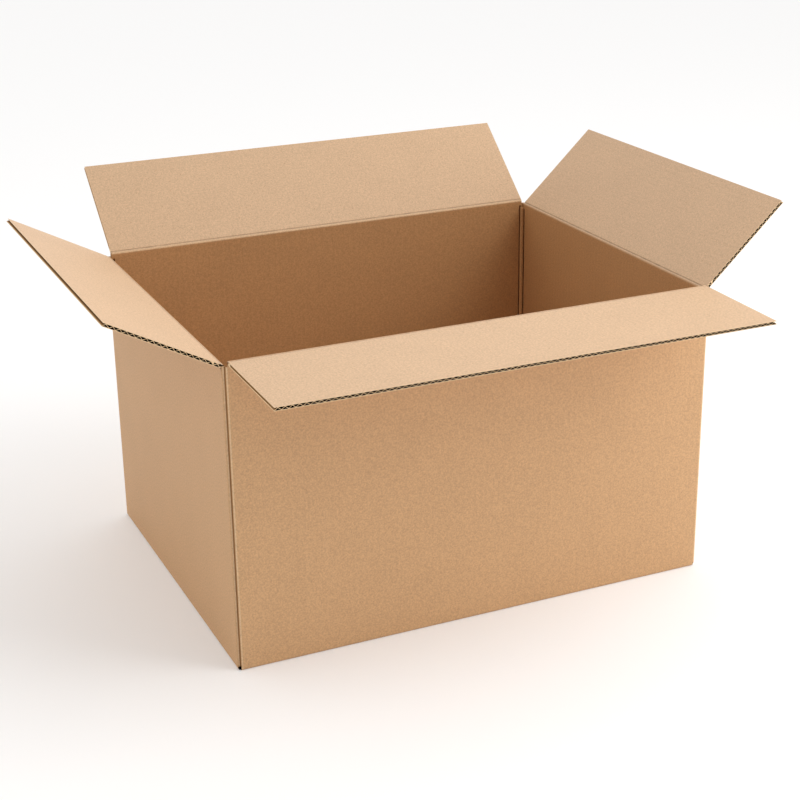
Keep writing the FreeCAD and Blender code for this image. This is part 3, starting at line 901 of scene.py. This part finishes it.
class CARTON_OT_crease_liners(bpy.types.Operator):
    """Lays the inner and the outer liner over each flap's crease"""

    bl_idname = "carton.crease_liners"
    bl_label = "Lay crease liners"

    def execute(self, context):
        board = context.scene.carton_board
        crease = context.scene.carton_crease
        papers = {
            # The inner crease's wall side takes the inside liner, darkened as painted shade
            "inner": crease_liner_paper(
                "pressed_kraft_inner_crease", board.inner_liner, board.shaded_inside_liner, board
            ),
            "outer": crease_liner_paper(
                "pressed_kraft_outer_crease", board.outer_liner, board.outer_liner, board
            ),
        }
        for flap in FLAPS:
            self.lay(flap, "inner", inner_section, 1, papers["inner"], (board, crease))
            self.lay(flap, "outer", outer_section, -1, papers["outer"], (board, crease))
        return {"FINISHED"}

    def lay(self, flap, side, make_section, facing, paper, looks):
        turn, pivot = crease_frame(flap)
        out = turn.col[1]
        outward = Vector((out.x, out.y, 0)).normalized()
        angle = flap_turn(flap)
        section = rounded(make_section(flap, angle, *looks))
        half_width, _ = flap_size(flap)
        strip = make_strip(
            f"{flap}_{side}_crease", section, facing, (pivot, outward, turn.col[0]),
            half_width, looks, paper,
        )
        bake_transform(strip)


class CARTON_OT_cut_ends(bpy.types.Operator):
    """Spreads the paper a little where the knife cut across the flutes"""

    bl_idname = "carton.cut_ends"
    bl_label = "Spread cut ends"

    def execute(self, context):
        board = context.scene.carton_board
        # Loose fibre at a knife cut: paler than the liner and without sheen
        material, _, shader = new_material("knife_cut_kraft")
        shader.inputs["Base Color"].default_value = (*board.raw_edge, 1)
        shader.inputs["Roughness"].default_value = 0.9
        for flap in FLAPS:
            self.spread(context, flap, board, material)
        return {"FINISHED"}

    def spread(self, context, flap, board, material):
        turn, pivot = crease_frame(flap)
        mesh = bpy.data.meshes.new(f"{flap}_cut_ends")
        bm = bmesh.new()
        for direction, size, line in flute_ends(flap, board):
            fixed = size - math.copysign(CUT_INSET, size)
            for band in cut_bands(line, board):
                rows = []
                for along, low, high in band:
                    pair = []
                    for up in (low, high):
                        spot = (along, fixed, up) if direction == "x" else (fixed, along, up)
                        pair.append(bm.verts.new(pivot + turn @ Vector(spot) * MM))
                    rows.append(pair)
                for near, far in zip(rows, rows[1:]):
                    bm.faces.new((near[0], far[0], far[1], near[1]))
        bm.to_mesh(mesh)
        bm.free()
        mesh.materials.append(material)
        ends = bpy.data.objects.new(f"{flap}_cut_ends", mesh)
        context.scene.collection.objects.link(ends)
        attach(ends, flap)


class CARTON_OT_stage(bpy.types.Operator):
    """Lays the floor, hangs the lamps and sets the camera"""

    bl_idname = "carton.stage"
    bl_label = "Set the stage"

    def execute(self, context):
        studio = context.scene.carton_studio
        self.lay_floor(context, studio)
        self.light(context, studio)
        self.hang_lamp(context, "key_soft_box", studio.key, KEY_HEIGHT)
        self.hang_lamp(context, "fill_soft_box", studio.fill, FILL_HEIGHT)
        self.set_camera(context, studio)
        context.scene.view_settings.view_transform = "Standard"
        return {"FINISHED"}

    def lay_floor(self, context, studio):
        mesh = bpy.data.meshes.new("paper_sweep")
        bm = bmesh.new()
        bmesh.ops.create_grid(bm, x_segments=1, y_segments=1, size=SWEEP_HALF)
        bm.to_mesh(mesh)
        bm.free()
        floor = bpy.data.objects.new("paper_sweep", mesh)
        context.scene.collection.objects.link(floor)
        material, tree, shader = new_material("uncoated_white_paper")
        shader.inputs["Base Color"].default_value = (*studio.floor, 1)
        shader.inputs["Roughness"].default_value = 1.0
        shader.inputs["Specular IOR Level"].default_value = 0.0
        # The camera sees the paper overexposed, as on a lit sweep, with the shadow still on it
        rays = add_node(tree, "ShaderNodeLightPath")
        lift = add_node(
            tree, "ShaderNodeMath",
            {0: rays.outputs["Is Camera Ray"], 1: studio.floor_lift}, operation="MULTIPLY",
        )
        white = add_node(tree, "ShaderNodeEmission", {"Color": (1, 1, 1, 1), "Strength": 1.0})
        lifted = add_node(
            tree, "ShaderNodeMixShader",
            {0: lift.outputs[0], 1: shader.outputs["BSDF"], 2: white.outputs[0]},
        )
        tree.links.new(lifted.outputs[0], tree.nodes["Material Output"].inputs["Surface"])
        mesh.materials.append(material)

    def light(self, context, studio):
        """A white room whose walls and ceiling differ in strength, brightest at the right."""
        world = bpy.data.worlds.new("white_room")
        world.use_nodes = True
        tree = world.node_tree
        tree.nodes.clear()
        direction = add_node(tree, "ShaderNodeTexCoord").outputs["Generated"]
        toward = add_node(
            tree, "ShaderNodeVectorMath", {0: direction, 1: (0, 0, 0)}, operation="MAXIMUM"
        )
        away = add_node(
            tree, "ShaderNodeVectorMath", {0: direction, 1: (0, 0, 0)}, operation="MINIMUM"
        )
        shares = []
        for half, strengths in (
            (toward, (studio.window, studio.back_wall, studio.ceiling)),
            (away, (studio.left_wall, 0, 0)),
        ):
            squared = add_node(
                tree, "ShaderNodeVectorMath",
                {0: half.outputs[0], 1: half.outputs[0]}, operation="MULTIPLY",
            )
            share = add_node(
                tree, "ShaderNodeVectorMath",
                {0: squared.outputs[0], 1: strengths}, operation="DOT_PRODUCT",
            )
            shares.append(share.outputs["Value"])
        room = add_node(tree, "ShaderNodeMath", {0: shares[0], 1: shares[1]}, operation="ADD")
        rays = add_node(tree, "ShaderNodeLightPath")
        strength = add_node(
            tree, "ShaderNodeMix",
            {"Factor": rays.outputs["Is Camera Ray"], "A": room.outputs[0], "B": 1.0},
        )
        background = add_node(
            tree, "ShaderNodeBackground",
            {"Color": (1, 1, 1, 1), "Strength": strength.outputs["Result"]},
        )
        add_node(tree, "ShaderNodeOutputWorld", {"Surface": background.outputs[0]})
        context.scene.world = world

    def hang_lamp(self, context, name, power, height):
        """A soft box in front of the carton's right end, turned to its middle."""
        toward = Vector((
            math.cos(LAMP_AZIMUTH) * math.cos(height), math.sin(LAMP_AZIMUTH) * math.cos(height),
            math.sin(height),
        ))
        light = bpy.data.lights.new(name, "AREA")
        light.shape = "SQUARE"
        light.size = LAMP_SIZE
        light.energy = power
        lamp = bpy.data.objects.new(name, light)
        lamp.location = LAMP_AIM + toward * LAMP_REACH
        lamp.rotation_euler = toward.to_track_quat("Z", "Y").to_euler()
        lamp.visible_camera = False
        context.scene.collection.objects.link(lamp)

    def set_camera(self, context, studio):
        azimuth, elevation, roll = studio.azimuth, studio.elevation, studio.roll
        back = Vector((
            math.sin(azimuth) * math.cos(elevation),
            -math.cos(azimuth) * math.cos(elevation),
            math.sin(elevation),
        ))
        level = Vector((math.cos(azimuth), math.sin(azimuth), 0))
        upward = back.cross(level)
        right = math.cos(roll) * level + math.sin(roll) * upward
        top = -math.sin(roll) * level + math.cos(roll) * upward
        lens = bpy.data.cameras.new("camera")
        lens.sensor_width = 36.0
        lens.lens = studio.lens
        camera = bpy.data.objects.new("camera", lens)
        turn = Matrix((right, top, back)).transposed().to_4x4()
        place = Vector(studio.aim) + back * studio.distance
        camera.matrix_world = Matrix.Translation(place) @ turn
        context.scene.collection.objects.link(camera)
        context.scene.camera = camera


OPERATORS = (
    CARTON_OT_dress_walls,
    CARTON_OT_dress_flaps,
    CARTON_OT_crease_liners,
    CARTON_OT_cut_ends,
    CARTON_OT_stage,
)


class CARTON_PT_panel(bpy.types.Panel):
    """Lists the carton's sizes, colours and steps"""

    bl_idname = "CARTON_PT_panel"
    bl_label = "Carton"
    bl_space_type = "VIEW_3D"
    bl_region_type = "UI"
    bl_category = "Carton"

    def draw(self, context):
        layout = self.layout
        for settings in (
            context.scene.carton_board, context.scene.carton_crease, context.scene.carton_studio,
        ):
            for name in settings.__annotations__:
                layout.prop(settings, name)
        for operator in OPERATORS:
            layout.operator(operator.bl_idname)


CLASSES = (BoardLook, CreaseLook, StudioLook, *OPERATORS, CARTON_PT_panel)


def register():
    for each in CLASSES:
        bpy.utils.register_class(each)
    bpy.types.Scene.carton_board = PointerProperty(type=BoardLook)
    bpy.types.Scene.carton_crease = PointerProperty(type=CreaseLook)
    bpy.types.Scene.carton_studio = PointerProperty(type=StudioLook)


def unregister():
    del bpy.types.Scene.carton_studio
    del bpy.types.Scene.carton_crease
    del bpy.types.Scene.carton_board
    for each in reversed(CLASSES):
        bpy.utils.unregister_class(each)


def main():
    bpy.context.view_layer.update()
    register()
    bpy.ops.carton.dress_walls()
    bpy.ops.carton.dress_flaps()
    bpy.ops.carton.crease_liners()
    bpy.ops.carton.cut_ends()
    bpy.ops.carton.stage()


if __name__ == "__main__":
    main()
